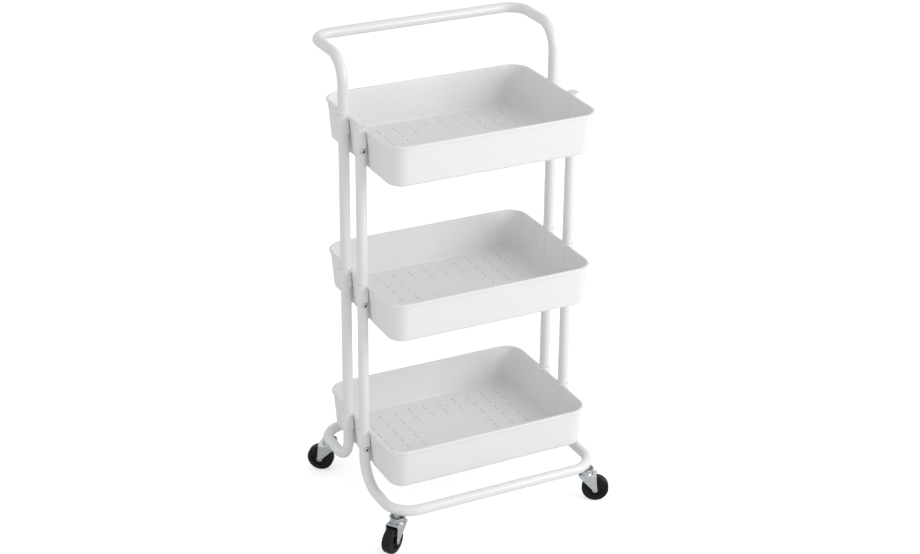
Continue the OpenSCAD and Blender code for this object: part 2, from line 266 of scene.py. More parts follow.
def grown(name, start, tree, values):
    """The plain mesh that a geometry tree makes from a starting mesh."""
    holder = bpy.data.objects.new(name, start)
    SCENE.collection.objects.link(holder)
    modifier = holder.modifiers.new(tree.name, "NODES")
    modifier.node_group = tree
    for item in tree.interface.items_tree:
        if item.in_out == "INPUT" and item.name in values:
            modifier[item.identifier] = values[item.name]
    depsgraph = bpy.context.evaluated_depsgraph_get()
    mesh = bpy.data.meshes.new_from_object(holder.evaluated_get(depsgraph))
    bpy.data.objects.remove(holder)
    return mesh


# ---------------------------------------------------------------- materials
def new_material(name, colour, roughness, **sockets):
    """A material with one surface shader, its tree, that shader and the object's coordinates."""
    material = bpy.data.materials.new(name)
    material.use_nodes = True
    tree = material.node_tree
    shader = tree.nodes["Principled BSDF"]
    shader.inputs["Base Color"].default_value = linear(colour)
    shader.inputs["Roughness"].default_value = roughness
    for key, value in sockets.items():
        shader.inputs[key.replace("_", " ")].default_value = value
    place = node(tree, "ShaderNodeTexCoord").outputs["Object"]
    return material, tree, shader, place


def grain(tree, shader, place, size, detail, strength, depth):
    """Gives a surface a fine grain of the given size and depth, and returns its noise."""
    noise = node(tree, "ShaderNodeTexNoise", {"Vector": place, "Scale": 1 / size, "Detail": detail})
    bump = node(
        tree, "ShaderNodeBump",
        {"Height": noise.outputs["Fac"], "Strength": strength, "Distance": depth},
    )
    tree.links.new(bump.outputs["Normal"], shader.inputs["Normal"])
    return noise.outputs["Fac"]


def uneven_sheen(tree, shader, noise, low, roughness, spread):
    """Lets the roughness drift to either side of its middle value with a noise."""
    drift = node(
        tree, "ShaderNodeMapRange",
        {
            "Value": noise, "From Min": low, "From Max": 1 - low, "To Min": roughness - spread,
            "To Max": roughness + spread,
        },
    )
    tree.links.new(drift.outputs["Result"], shader.inputs["Roughness"])


def mixed_colour(tree, factor, first, second):
    """A colour between two others."""
    mixed = node(tree, "ShaderNodeMix", {"Factor": factor, "A": first, "B": second}, data_type="RGBA")
    return mixed.outputs["Result"]


def paint_recess_shade(tree, shader, colour, dark):
    """Darkens the colour with painted shade where a mesh marks the inside of a recess."""
    recess = node(tree, "ShaderNodeAttribute", attribute_name="recess")
    skin = mixed_colour(tree, recess.outputs["Fac"], colour, linear(dark))
    tree.links.new(skin, shader.inputs["Base Color"])


def moulded_polypropylene():
    """White polypropylene from a spark-eroded mould: a fine grain that spreads the sheen, and walls
    whose colour drifts very slightly, as thick moulded plastic does."""
    material, tree, shader, place = new_material("moulded polypropylene", "E9E9EB", 0.46, IOR=1.49)
    drift = node(tree, "ShaderNodeTexNoise", {"Vector": place, "Scale": 1 / (60 * MM), "Detail": 1})
    tone = mixed_colour(tree, drift.outputs["Fac"], linear("E7E7E9"), linear("EBEBEB"))
    # painted shade: the walls of the drain holes are darkened towards 3A3A3C
    paint_recess_shade(tree, shader, tone, "3A3A3C")
    grain(tree, shader, place, 0.7 * MM, 3, 0.18, 0.05 * MM)
    return material


def powder_coat():
    """White powder coat baked on steel tube: a smooth semi-gloss with a faint orange peel."""
    material, tree, shader, place = new_material(
        "powder coat on steel tube", "E8E8EB", 0.3, IOR=1.5, Coat_Weight=0.25
    )
    grain(tree, shader, place, 1.6 * MM, 2, 0.2, 0.06 * MM)
    return material


def cap_polyethylene():
    """White polyethylene plugs: softer and a little waxier than the trays."""
    material, tree, shader, place = new_material("moulded polyethylene", "E4E4E6", 0.5, IOR=1.51)
    grain(tree, shader, place, 0.5 * MM, 2, 0.15, 0.04 * MM)
    return material


def metal(name, colour, roughness, patch, patch_spread, scratch):
    """A bare or plated metal whose sheen drifts in patches and whose skin has fine marks."""
    material, tree, shader, place = new_material(name, colour, roughness, Metallic=1.0)
    cloud = node(tree, "ShaderNodeTexNoise", {"Vector": place, "Scale": 1 / patch, "Detail": 4})
    uneven_sheen(tree, shader, cloud.outputs["Fac"], 0.3, roughness, patch_spread)
    # painted shade: marked recesses such as sockets and the race's dish are darkened towards near black
    paint_recess_shade(tree, shader, linear(colour), "08080A")
    grain(tree, shader, place, scratch, 5, 0.15, 0.03 * MM)
    return material


def black_polymer(name, colour, roughness, grit):
    """Black rubber or nylon: nearly flat, with a fine skin that catches a dull sheen."""
    material, tree, shader, place = new_material(name, colour, roughness, Specular_IOR_Level=0.22)
    skin = grain(tree, shader, place, grit, 4, 0.3, 0.05 * MM)
    uneven_sheen(tree, shader, skin, 0.25, roughness, 0.08)
    return material


MATERIAL = {
    "tray_plastic": moulded_polypropylene(), "tube_enamel": powder_coat(),
    "cap_plastic": cap_polyethylene(),
    "screw_steel": metal("polished screw steel", "C6C8CB", 0.2, 2 * MM, 0.06, 0.4 * MM),
    "zinc_plate": metal("bright zinc plate", "C4CACC", 0.24, 5 * MM, 0.1, 0.8 * MM),
    "ball_steel": metal("polished ball steel", "D4D4D6", 0.12, 1 * MM, 0.04, 0.5 * MM),
    "wheel_core_plastic": black_polymer("moulded nylon", "121214", 0.45, 0.8 * MM),
    "tyre_rubber": black_polymer("moulded rubber", "0F0F11", 0.5, 1.1 * MM),
}


# ---------------------------------------------------------------- trays
def wall_face(r, z):
    """Distance of the wall's face outside the slab edge, at height z below the rim."""
    return (
        FOOT_D
        + r * math.cos(DRAFT)
        + (z + TRAY_H - FOOT_R + r * math.sin(DRAFT)) * math.tan(DRAFT)
    )


def flute_bulge(away, r, cut):
    """How far a flute of radius r stands in from the wall's face, with a soft edge."""
    soft = 1.0 * MM
    if abs(away) >= r:
        return 0.0
    deep = math.sqrt(r * r - away * away) - cut
    blend = max(soft - abs(deep), 0) / soft
    return max(deep, 0) + blend * blend * soft / 4


def tray_section():
    """The wall's section as (distance, height, part), from the floor's underside up and over the rim."""
    inner_r = FOOT_R - WALL_T
    draft = math.degrees(DRAFT)
    foot_z = FOOT_R - TRAY_H
    levels = [-10 * MM * k for k in range(1, 7)]
    outer = [(0, -TRAY_H)] + arc(FOOT_D, foot_z, FOOT_R, -90, -draft, 10)
    outer += [(wall_face(FOOT_R, z), z) for z in reversed(levels)]
    fillet = 0.8 * MM
    corner = wall_face(FOOT_R, -BEAD_H - fillet)
    under = arc(corner + fillet, -BEAD_H - fillet, fillet, 180, 90, 3)
    rim = arc(FLOOR_INSET - fillet, fillet - BEAD_H, fillet, -90, 0, 3)
    rim += arc(FLOOR_INSET - BEAD_R, -BEAD_R, BEAD_R, 0, 90, 6)
    lip = arc(wall_face(inner_r, 0) + LIP_R, -LIP_R, LIP_R, 90, 180, 4)
    lip += [(wall_face(inner_r, z), z) for z in levels[:-1]]
    inner_foot = arc(FOOT_D, foot_z, inner_r, -draft, -90, 10) + [(0, WALL_T - TRAY_H)]
    return (
        [(d, z, "channel") for d, z in outer]
        + [(d, z, "under bead") for d, z in under]
        + [(d, z, "plain") for d, z in rim]
        + [(d, z, "bulge") for d, z in lip]
        + [(d, z, "bulge foot") for d, z in inner_foot]
    )


def tray_path():
    """Points round the slab with their outward normals, closer together beside the flutes."""
    reach_y, reach_x = SLAB_Y - SLAB_R, SLAB_X - SLAB_R
    quarter_steps = 12
    near = [s * UPRIGHT_Y + k * MM for s in (-1, 1) for k in range(-18, 19)]
    far = [y for y in np.linspace(-reach_y, reach_y, 14) if min(abs(y - n) for n in near) > 2 * MM]
    end = sorted(y for y in near + far if -reach_y < y < reach_y)
    side = list(np.linspace(-reach_x, reach_x, 18))[1:-1]
    path = []
    for quarter, (cx, cy) in enumerate([(1, 1), (-1, 1), (-1, -1), (1, -1)]):
        centre = Vector((cx * reach_x, cy * reach_y))
        for k in range(quarter_steps + 1):
            a = math.radians(90 * (quarter + k / quarter_steps))
            normal = Vector((math.cos(a), math.sin(a)))
            path.append((centre + SLAB_R * normal, normal))
        if quarter == 0:
            path += [(Vector((x, SLAB_Y)), Vector((0, 1))) for x in reversed(side)]
        elif quarter == 1:
            path += [(Vector((-SLAB_X, y)), Vector((-1, 0))) for y in reversed(end)]
        elif quarter == 2:
            path += [(Vector((x, -SLAB_Y)), Vector((0, -1))) for x in side]
        else:
            path += [(Vector((SLAB_X, y)), Vector((1, 0))) for y in end]
    return path


def tray_shell():
    """The tray without its sleeves: the wall's section carried round the slab, and the floor."""
    inner_r = FOOT_R - WALL_T
    cut = FLUTE_R - FLUTE_DEPTH
    section = tray_section()
    points = []
    path = tray_path()
    for at, normal in path:
        away = min(abs(at.y - UPRIGHT_Y), abs(at.y + UPRIGHT_Y))
        on_end = abs(normal.y) < 1e-6
        channel = flute_bulge(away, FLUTE_R, cut) if on_end else 0
        bulge = flute_bulge(away, FLUTE_R + WALL_T, cut + WALL_T) if on_end else 0
        for d, z, part in section:
            if part == "channel":
                d = min(d, wall_face(FOOT_R, z) - channel)
            elif part == "under bead":
                d -= channel
            elif part == "bulge":
                d -= bulge
            elif part == "bulge foot":
                d = min(d, wall_face(inner_r, z) - bulge)
            spot = at + d * normal
            points.append((spot.x, spot.y, z))
    count = len(section)
    faces = grid_faces(len(path), count, wrap_rows=True)
    faces.append(tuple(i * count for i in range(len(path))))
    faces.append(tuple(i * count + count - 1 for i in range(len(path))))
    return mesh_of("tray shell", points, faces)


def ruled_floor(mesh, columns, rows):
    """Rules the floor into cells with one drain hole each, so that it stays flat once drilled."""
    work = bmesh.new()
    work.from_mesh(mesh)
    for way, lines in ((Vector((1, 0, 0)), columns), (Vector((0, 1, 0)), rows)):
        for line in lines:
            work.normal_update()
            level = [face for face in work.faces if is_level(face)]
            edges = dict.fromkeys(edge for face in level for edge in face.edges)
            points = dict.fromkeys(point for face in level for point in face.verts)
            bmesh.ops.bisect_plane(
                work, geom=[*level, *edges, *points], plane_co=way * line, plane_no=way
            )
    work.to_mesh(mesh)
    work.free()
    return mesh


def sleeve_outline(angle, z):
    """Radius of the sleeve about the upright: round, with a narrow web back to the channel."""
    reach = UPRIGHT_X - SLAB_X - wall_face(FOOT_R, z) + FLUTE_DEPTH + WALL_T / 2
    across, back = abs(math.sin(angle)), -math.cos(angle)
    if back <= 0:
        return SLEEVE_R
    return max(SLEEVE_R, min(WEB_HALF_W / max(across, 1e-9), reach / back))


def sleeve():
    """One sleeve about its own axis, with its web towards -X and rounded edges."""
    edge = 0.8 * MM
    bore = TUBE_R + SLEEVE_PLAY
    rings = [(bore, -SLEEVE_H), (bore, 0.0)]
    turn_in = 0.3 * edge
    skin = [(edge, 0.0), (turn_in, -turn_in), (0.0, -edge), (0.0, -SLEEVE_H / 2)]
    skin += [(0.0, edge - SLEEVE_H), (turn_in, turn_in - SLEEVE_H), (edge, -SLEEVE_H)]
    for inset, z in skin:
        rings.append((lambda a, inset=inset, z=z: sleeve_outline(a, z) - inset, z))
    return turned("sleeve", rings, segments=144, closed=True)


def sleeves():
    """Four sleeves, each with its web towards its own end wall."""
    made = []
    for x in (-1, 1):
        for y in (-1, 1):
            turn = Matrix.Rotation(0 if x > 0 else math.pi, 4, "Z")
            place = Matrix.Translation((x * UPRIGHT_X, y * UPRIGHT_Y, 0))
            made.append(moved(sleeve(), place @ turn))
    return joined("sleeves", made)


def tray_tree(material):
    """Joins the sleeves to the shell, opens their bores, and drills the drain holes in a grid that
    leaves the middle of the floor plain."""
    tree, given = new_tree(
        "moulded tray",
        [
            ("Sleeves", "Object"), ("Bore radius", "Float"), ("Bore spacing X", "Float"),
            ("Bore spacing Y", "Float"), ("Hole radius", "Float"), ("Hole pitch X", "Float"),
            ("Hole pitch Y", "Float"), ("Pair gap", "Float"), ("Hole columns", "Int"),
            ("Hole rows", "Int"), ("Plain half length", "Float"), ("Plain half width", "Float"),
            ("Floor depth", "Float"),
        ],
    )
    collars = node(tree, "GeometryNodeObjectInfo", {"Object": given["Sleeves"]})
    whole = node(
        tree, "GeometryNodeMeshBoolean", {"Mesh 2": collars.outputs["Geometry"]}, operation="UNION",
        solver="EXACT",
    )
    tree.links.new(given["Geometry"], whole.inputs["Mesh 2"])
    bore = node(
        tree, "GeometryNodeMeshCylinder",
        {"Vertices": 96, "Radius": given["Bore radius"], "Depth": 2 * TRAY_H},
    )
    bore_grid = node(
        tree, "GeometryNodeMeshGrid",
        {
            "Size X": given["Bore spacing X"], "Size Y": given["Bore spacing Y"], "Vertices X": 2,
            "Vertices Y": 2,
        },
    )
    bores = node(
        tree, "GeometryNodeInstanceOnPoints",
        {"Points": bore_grid.outputs["Mesh"], "Instance": bore.outputs["Mesh"]},
    )
    span = {}
    for axis, count in (("X", "Hole columns"), ("Y", "Hole rows")):
        gaps = maths(tree, "SUBTRACT", given[count], 1.0)
        span[axis] = maths(tree, "MULTIPLY", gaps, given[f"Hole pitch {axis}"])
    hole_grid = node(
        tree, "GeometryNodeMeshGrid",
        {
            "Size X": span["X"], "Size Y": span["Y"], "Vertices X": given["Hole columns"],
            "Vertices Y": given["Hole rows"],
        },
    )
    at = node(tree, "GeometryNodeInputPosition")
    parts = node(tree, "ShaderNodeSeparateXYZ", {0: at.outputs[0]})
    inside = []
    for axis, limit in (("X", "Plain half length"), ("Y", "Plain half width")):
        size = maths(tree, "ABSOLUTE", parts.outputs[axis])
        inside.append(maths(tree, "LESS_THAN", size, given[limit]))
    both = maths(tree, "MULTIPLY", *inside)
    kept = node(
        tree, "GeometryNodeDeleteGeometry",
        {"Geometry": hole_grid.outputs["Mesh"], "Selection": both}, domain="POINT",
    )
    drill = node(
        tree, "GeometryNodeMeshCylinder",
        {"Vertices": 24, "Radius": given["Hole radius"], "Depth": 8 * WALL_T},
    )
    half_gap = maths(tree, "MULTIPLY", given["Pair gap"], -0.5)
    first = node(tree, "ShaderNodeCombineXYZ", {"Y": half_gap})
    step = node(tree, "ShaderNodeCombineXYZ", {"Y": given["Pair gap"]})
    pair = node(
        tree, "GeometryNodeMeshLine",
        {"Count": 2, "Start Location": first.outputs[0], "Offset": step.outputs[0]},
    )
    drills = node(
        tree, "GeometryNodeInstanceOnPoints",
        {"Points": pair.outputs["Mesh"], "Instance": drill.outputs["Mesh"]},
    )
    holes = node(
        tree, "GeometryNodeInstanceOnPoints",
        {"Points": kept.outputs["Geometry"], "Instance": drills.outputs["Instances"]},
    )
    drop = maths(tree, "MULTIPLY", given["Floor depth"], -1.0)
    down = node(tree, "ShaderNodeCombineXYZ", {"Z": drop})
    sunk = node(
        tree, "GeometryNodeTransform",
        {"Geometry": holes.outputs["Instances"], "Translation": down.outputs[0]},
    )
    tools = node(tree, "GeometryNodeJoinGeometry", {"Geometry": bores.outputs["Instances"]})
    tree.links.new(sunk.outputs["Geometry"], tools.inputs["Geometry"])
    solid = node(tree, "GeometryNodeRealizeInstances", {"Geometry": tools.outputs["Geometry"]})
    cut = node(
        tree, "GeometryNodeMeshBoolean",
        {"Mesh 1": whole.outputs["Mesh"], "Mesh 2": solid.outputs["Geometry"]},
        operation="DIFFERENCE", solver="EXACT",
    )
    end_tree(tree, cut.outputs["Mesh"], material)
    return tree


def paint_hole_shade(mesh, floor_z):
    """Keeps the floor flat, and marks the walls of its holes for painted shade, since they see little
    light.
    """
    dark = 0.55
    shade = mesh.attributes.new("recess", "FLOAT", "FACE")
    for face in mesh.polygons:
        face.use_smooth = not is_level(face)
        at = face.center
        on_slab = abs(at.x) < SLAB_X and abs(at.y) < SLAB_Y
        upright = abs(face.normal.z) < 0.01 and floor_z < at.z < floor_z + WALL_T
        shade.data[face.index].value = dark * (on_slab and upright)


def make_trays():
    """One moulding, made once and set at each tier."""
    collars = bpy.data.objects.new("sleeve set", outward(sleeves()))
    SCENE.collection.objects.link(collars)
    pitch_x, pitch_y = 30.5 * MM, 30 * MM
    sizes = {
        "Sleeves": collars, "Bore radius": TUBE_R + SLEEVE_PLAY, "Bore spacing X": 2 * UPRIGHT_X,
        "Bore spacing Y": 2 * UPRIGHT_Y, "Hole radius": 1.5 * MM, "Hole pitch X": pitch_x,
        "Hole pitch Y": pitch_y, "Pair gap": 11 * MM, "Hole columns": 10, "Hole rows": 8,
        "Plain half length": 2 * pitch_x, "Plain half width": 2 * pitch_y, "Floor depth": TRAY_H,
    }
    tree = tray_tree(MATERIAL["tray_plastic"])
    columns = [k * pitch_x for k in range(-5, 6)]
    rows = [k * pitch_y / 2 for k in range(-8, 9)]
    shell = ruled_floor(outward(tray_shell()), columns, rows)
    pattern = grown("tray", shell, tree, sizes)
    bpy.data.objects.remove(collars)
    for tier in TIERS:
        mesh = moved(pattern.copy(), Matrix.Translation((0, 0, RIM_Z[tier])))
        piece(f"{tier}_tray_moulding", mesh, "tray_plastic", "cart_frame", f"tray_{tier}")
        paint_hole_shade(mesh, RIM_Z[tier] - TRAY_H)


# ---------------------------------------------------------------- tube frame and handle
def tube_tree(material):
    """Bends a tube along a line of corners, each with its own bend radius."""
    tree, given = new_tree("bent tube", [("Tube radius", "Float"), ("Steps", "Int")])
    line = node(tree, "GeometryNodeMeshToCurve", {"Mesh": given["Geometry"]})
    bend = node(tree, "GeometryNodeInputNamedAttribute", {"Name": "bend_radius"})
    bent = node(
        tree, "GeometryNodeFilletCurve",
        {"Curve": line.outputs[0], "Count": given["Steps"], "Radius": bend.outputs[0]}, mode="POLY",
    )
    taper = node(tree, "GeometryNodeInputNamedAttribute", {"Name": "end_taper"})
    eased = node(
        tree, "GeometryNodeSetCurveRadius", {"Curve": bent.outputs[0], "Radius": taper.outputs[0]},
    )
    ring = node(
        tree, "GeometryNodeCurvePrimitiveCircle",
        {"Resolution": 48, "Radius": given["Tube radius"]},
    )
    tube = node(
        tree, "GeometryNodeCurveToMesh",
        {"Curve": eased.outputs[0], "Profile Curve": ring.outputs[0], "Fill Caps": True},
    )
    end_tree(tree, tube.outputs[0], material)
    return tree


def tube_line(name, corners):
    """A line of corners, each (point, bend radius, end taper)."""
    mesh = bpy.data.meshes.new(name)
    edges = [(k, k + 1) for k in range(len(corners) - 1)]
    mesh.from_pydata([tuple(c[0]) for c in corners], edges, [])
    for label, index in (("bend_radius", 1), ("end_taper", 2)):
        attribute = mesh.attributes.new(label, "FLOAT", "POINT")
        attribute.data.foreach_set("value", [c[index] for c in corners])
    return mesh


def make_bent_tubes():
    """The handle and both base tubes: each leaves one upright's line and comes back on the other's."""
    tree = tube_tree(MATERIAL["tube_enamel"])
    chamfer, narrow = 0.7 * MM, 0.94
    grip_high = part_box("handle_tube")[1]
    base_low, base_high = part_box("base_tube_rear")
    grip = (RIM_Z["top"], grip_high.z - TUBE_R, grip_high.y - TUBE_R, 45 * MM, 36 * MM)
    base = (RIM_Z["bottom"], base_low.z + TUBE_R, base_high.y - TUBE_R, 51 * MM, 47 * MM)
    runs = [
        ("handle_bend", "handle_tube", grip, 1), ("rear_base_bend", "base_tube_rear", base, 1),
        ("front_base_bend", "base_tube_front", base, -1),
    ]
    for name, cad_node, (start_z, level_z, far_y, bend_r, corner_r), way in runs:
        rise = chamfer if level_z > start_z else -chamfer
        half = [
            ((UPRIGHT_X, UPRIGHT_Y, start_z), 0, narrow),
            ((UPRIGHT_X, UPRIGHT_Y, start_z + rise), 0, 1),
            ((UPRIGHT_X, UPRIGHT_Y, level_z), bend_r, 1),
            ((UPRIGHT_X, far_y, level_z), corner_r, 1),
        ]
        line = [((x, way * y, z), r, t) for (x, y, z), r, t in half]
        line += [((-x, way * y, z), r, t) for (x, y, z), r, t in reversed(half)]
        mesh = grown(name, tube_line(name, line), tree, {"Tube radius": TUBE_R, "Steps": 24})
        piece(name, mesh, "tube_enamel", "cart_frame", cad_node)


def make_uprights():
    """Straight tubes, each with a chamfered mouth and a swaged spigot that plugs into the tube below."""
    chamfer = 0.5 * MM
    for start, level in (("bottom", "lower"), ("middle", "upper")):
        base = RIM_Z[start]
        top = base + TIER_PITCH
        rings = [
            (SPIGOT_R - TUBE_T, base - SPIGOT_L), (SPIGOT_R - chamfer, base - SPIGOT_L),
            (SPIGOT_R, base - SPIGOT_L + chamfer), (SPIGOT_R, base), (TUBE_R - chamfer, base),
            (TUBE_R, base + chamfer), (TUBE_R, top - chamfer), (TUBE_R - chamfer, top),
            (TUBE_R - TUBE_T, top), (TUBE_R - TUBE_T, base + 2 * MM),
            (SPIGOT_R - TUBE_T, base + 1 * MM),
        ]
        for corner in CORNERS:
            cad_node = f"{level}_upright_{corner}"
            middle = box_middle(cad_node)
            mesh = turned(cad_node, rings, segments=56, closed=True)
            moved(mesh, Matrix.Translation((middle.x, middle.y, 0)))
            piece(f"{corner}_{level}_tube", mesh, "tube_enamel", "cart_frame", cad_node)


def make_end_caps():
    """Domed plugs in the tops of the front uprights."""
    for side in ("left", "right"):
        low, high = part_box(f"end_cap_{side}")
        middle = (low + high) / 2
        head_r = (high.x - low.x) / 2
        base = RIM_Z["top"]
        edge = 0.8 * MM
        rings = [(0.5 * MM, low.z), (TUBE_R - TUBE_T, low.z), (TUBE_R - TUBE_T, base)]
        rings += [(head_r - 0.3 * MM, base), (head_r, base + 0.3 * MM)]
        rings += arc(head_r - edge, high.z - edge, edge, 0, 90, 6)
        rings += [(0.3 * MM, high.z)]
        mesh = turned("cap", rings, segments=64)
        moved(mesh, Matrix.Translation((middle.x, middle.y, 0)))
        piece(f"{side}_tube_cap", mesh, "cap_plastic", "cart_frame", f"end_cap_{side}")


# ---------------------------------------------------------------- screws, rivet nuts and inserts
def seat_tree(material):
    """Puts one part on every seat, with its axis along the way that the seat faces."""
    tree, given = new_tree("seated parts", [("Part", "Object")])
    part = node(tree, "GeometryNodeObjectInfo", {"Object": given["Part"]})
    facing = node(tree, "GeometryNodeInputNamedAttribute", {"Name": "facing"}, data_type="FLOAT_VECTOR")
    turn = node(tree, "FunctionNodeAlignRotationToVector", {"Vector": facing.outputs[0]}, axis="Z")
    placed = node(
        tree, "GeometryNodeInstanceOnPoints",
        {
            "Points": given["Geometry"], "Instance": part.outputs["Geometry"],
            "Rotation": turn.outputs[0],
        },
    )
    end_tree(tree, placed.outputs["Instances"], material)
    return tree


def seats(name, points, facings):
    """A point for every seat, with the way that it faces."""
    mesh = bpy.data.meshes.new(name)
    mesh.from_pydata([tuple(p) for p in points], [], [])
    attribute = mesh.attributes.new("facing", "FLOAT_VECTOR", "POINT")
    attribute.data.foreach_set("vector", [c for f in facings for c in f])
    return mesh


def seated(name, part_mesh, points, facings, slot, replaced):
    """A piece made of one part repeated on its seats."""
    part = bpy.data.objects.new(f"{name} part", part_mesh)
    SCENE.collection.objects.link(part)
    tree = seat_tree(MATERIAL[slot])
    mesh = grown(name, seats(name, points, facings), tree, {"Part": part})
    bpy.data.objects.remove(part)
    piece(name, mesh, slot, "cart_frame", replaced)


def button_screw():
    """Button-head screw with a hexagon socket and a grooved shank."""
    head_r, head_h, shank_r, shank_l = 4.4 * MM, 2.6 * MM, 2.4 * MM, 15 * MM
    groove, thread = 0.3 * MM, 0.8 * MM
    rings = [(shank_r - 0.6 * MM, -shank_l)]
    for k in range(int(shank_l / thread) - 1):
        z = -shank_l + 0.5 * MM + k * thread
        rings += [(shank_r - groove, z), (shank_r, z + thread / 2)]
    rings += [(shank_r, 0.0), (head_r - 0.2 * MM, 0.0), (head_r, 0.3 * MM)]
    skirt = 0.5 * MM
    for a in (0.0, 0.25, 0.5, 0.75, 1.0):
        rings.append((head_r * math.cos(a), skirt + (head_h - skirt) * math.sin(a)))
    socket = hexagon(3.0 * MM)
    rings += [(lambda a: socket(a) + 0.15 * MM, head_h - 0.12 * MM), (socket, head_h - 0.3 * MM)]
    rings += [(socket, head_h - 1.6 * MM), (0.2 * MM, head_h - 2.0 * MM)]
    screw = turned("button screw", rings, segments=48)
    # the hex socket's points are marked for painted shade
    return with_painted_recess_shade(screw, lambda p: p.z > head_h - 2.2 * MM and p.xy.length < 1.85 * MM)


def rivet_nut():
    """Rivet nut with its flange outside the tube and a plain bore."""
    body_r, flange_r, length, bore = 3.4 * MM, 4.9 * MM, 11 * MM, 2.5 * MM
    rings = [(bore, -length), (body_r - 0.2 * MM, -length), (body_r, 0.2 * MM - length)]
    rings += [(body_r, -0.02 * MM), (flange_r - 0.15 * MM, 0.0), (flange_r, 0.2 * MM)]
    rings += [(flange_r, RIVET_FLANGE_T - 0.25 * MM), (flange_r - 0.3 * MM, RIVET_FLANGE_T)]
    rings += [(bore, RIVET_FLANGE_T)]
    return turned("rivet nut", rings, segments=48, closed=True)


def make_fasteners():
    """A screw and its rivet nut below every sleeve, facing front and rear."""
    screw_z = box_middle("tray_screws_top").z - RIM_Z["top"]
    for tier in TIERS:
        corners = [(x, y) for x in (-1, 1) for y in (-1, 1)]
        facings = [(0, y, 0) for x, y in corners]
        for what, part, slot, out, cad_group in (
            ("screws", button_screw, "screw_steel", RIVET_FLANGE_T, "tray_screws"),
            ("rivet_nuts", rivet_nut, "zinc_plate", 0.0, "rivet_nuts"),
        ):
            points = [
                (x * UPRIGHT_X, y * (UPRIGHT_Y + TUBE_R + out), RIM_Z[tier] + screw_z)
                for x, y in corners
            ]
            seated(f"{tier}_{what}", part(), points, facings, slot, f"{cad_group}_{tier}")


# ---------------------------------------------------------------- casters
def swivel(corner):
    """Where a caster swivels, and the way that it trails, from the joints."""
    spots = {j["name"]: Vector(j["pos_m"]) for j in frame["joints"]}
    pivot = spots[f"{corner}_swivel"]
    trail = (spots[f"{corner}_roll"] - pivot).xy
    turn = math.atan2(trail.y, trail.x)
    return Matrix.Translation((pivot.x, pivot.y, 0)) @ Matrix.Rotation(turn, 4, "Z"), trail.length


tyre_low, tyre_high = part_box("front_left_caster_tyre")
WHEEL_R = (tyre_high.z - tyre_low.z) / 2
race_low, race_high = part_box("front_left_caster_upper_race")
RACE_LOW, RACE_HIGH = race_low.z, race_high.z
RACE_R = (race_high.x - race_low.x) / 2
STEM_LOW, STEM_HIGH = (corner.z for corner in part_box("front_left_caster_stem"))
TRAIL = swivel("front_left")[1]
CROWN_Z = 53.5 * MM
CROWN_T = 2 * MM
LEG_TOP = CROWN_Z - 1.5 * MM
LEG_IN, LEG_T = 11 * MM, 2 * MM
EYE_R = 5 * MM
CROWN_FRONT, CROWN_BACK = 13.5 * MM, 20 * MM
DISH_Z = RACE_HIGH - 2.5 * MM
BALL_Z = frame["joints"][0]["pos_m"][2]
BALL_R, BALL_RING_R, BALL_COUNT = 2 * MM, 10 * MM, 14
KINGPIN_R = 4.9 * MM
AXLE_R = 3 * MM
AXLE_HEAD_R, AXLE_HEAD_H = 4.2 * MM, 1.2 * MM
TYRE_W = 18 * MM
CORE_R = 17 * MM
ON_SIDE = Matrix.Rotation(math.radians(90), 4, "X")


def at_axle(mesh):
    """Turns a shape made about Z so that its axis is the axle's, with its top towards -Y."""
    return moved(mesh, Matrix.Translation((TRAIL, 0, WHEEL_R)) @ ON_SIDE)


def fork_side(z):
    """Front and back edges of a fork leg at height z: straight tapers that run into a round eye."""
    neck = 4.2 * MM
    rise = z - WHEEL_R
    share = min(max(rise / (LEG_TOP - WHEEL_R), 0), 1)
    front = TRAIL - neck - (CROWN_FRONT + TRAIL - neck) * share
    back = TRAIL + neck + (CROWN_BACK - TRAIL - neck) * share
    if abs(rise) < EYE_R:
        half = math.sqrt(EYE_R * EYE_R - rise * rise)
        if rise < 0:
            return TRAIL - half, TRAIL + half
        return min(front, TRAIL - half), max(back, TRAIL + half)
    return (front, back) if rise > 0 else (TRAIL, TRAIL)


def fork_blank():
    """The pressed fork: one strip folded over the wheel, with rounded folds and tapering legs."""
    fold_out, fold_in = 3 * MM, 1 * MM
    eye_steps = [WHEEL_R - EYE_R * math.cos(math.radians(9 * k)) for k in range(1, 20)]
    leg_steps = np.linspace(32 * MM, CROWN_Z - fold_in, 8)
    leg = sorted({WHEEL_R - EYE_R * 0.999, *eye_steps, *leg_steps})
    top = CROWN_Z + CROWN_T
    outer = [(-LEG_IN - LEG_T, z) for z in leg]
    inner = [(-LEG_IN, z) for z in leg]
    centre_y, centre_z = LEG_IN - fold_in, CROWN_Z - fold_in
    fold = [math.radians(180 - 90 * k / 6) for k in range(1, 7)]
    outer += [(-centre_y + fold_out * math.cos(a), centre_z + fold_out * math.sin(a)) for a in fold]
    inner += [(-centre_y + fold_in * math.cos(a), centre_z + fold_in * math.sin(a)) for a in fold]
    flat = [centre_y * s for s in (-0.75, -0.5, -0.25, 0)]
    outer += [(y, top) for y in flat]
    inner += [(y, CROWN_Z) for y in flat]
    outer += [(-y, z) for y, z in reversed(outer[:-1])]
    inner += [(-y, z) for y, z in reversed(inner[:-1])]
    across = 16
    points = []
    for y, z in outer + inner:
        front, back = fork_side(min(z, LEG_TOP))
        points += [(front + (back - front) * k / across, y, z) for k in range(across + 1)]
    rows, columns = len(outer), across + 1
    under = rows * columns
    faces = grid_faces(rows, columns) + grid_faces(rows, columns, start=under)
    sides = [(j + i * columns, columns) for j in (0, across) for i in range(rows - 1)]
    ends = [(j + i * columns, 1) for i in (0, rows - 1) for j in range(across)]
    faces += [(a, a + step, under + a + step, under + a) for a, step in sides + ends]
    return mesh_of("fork blank", points, faces)


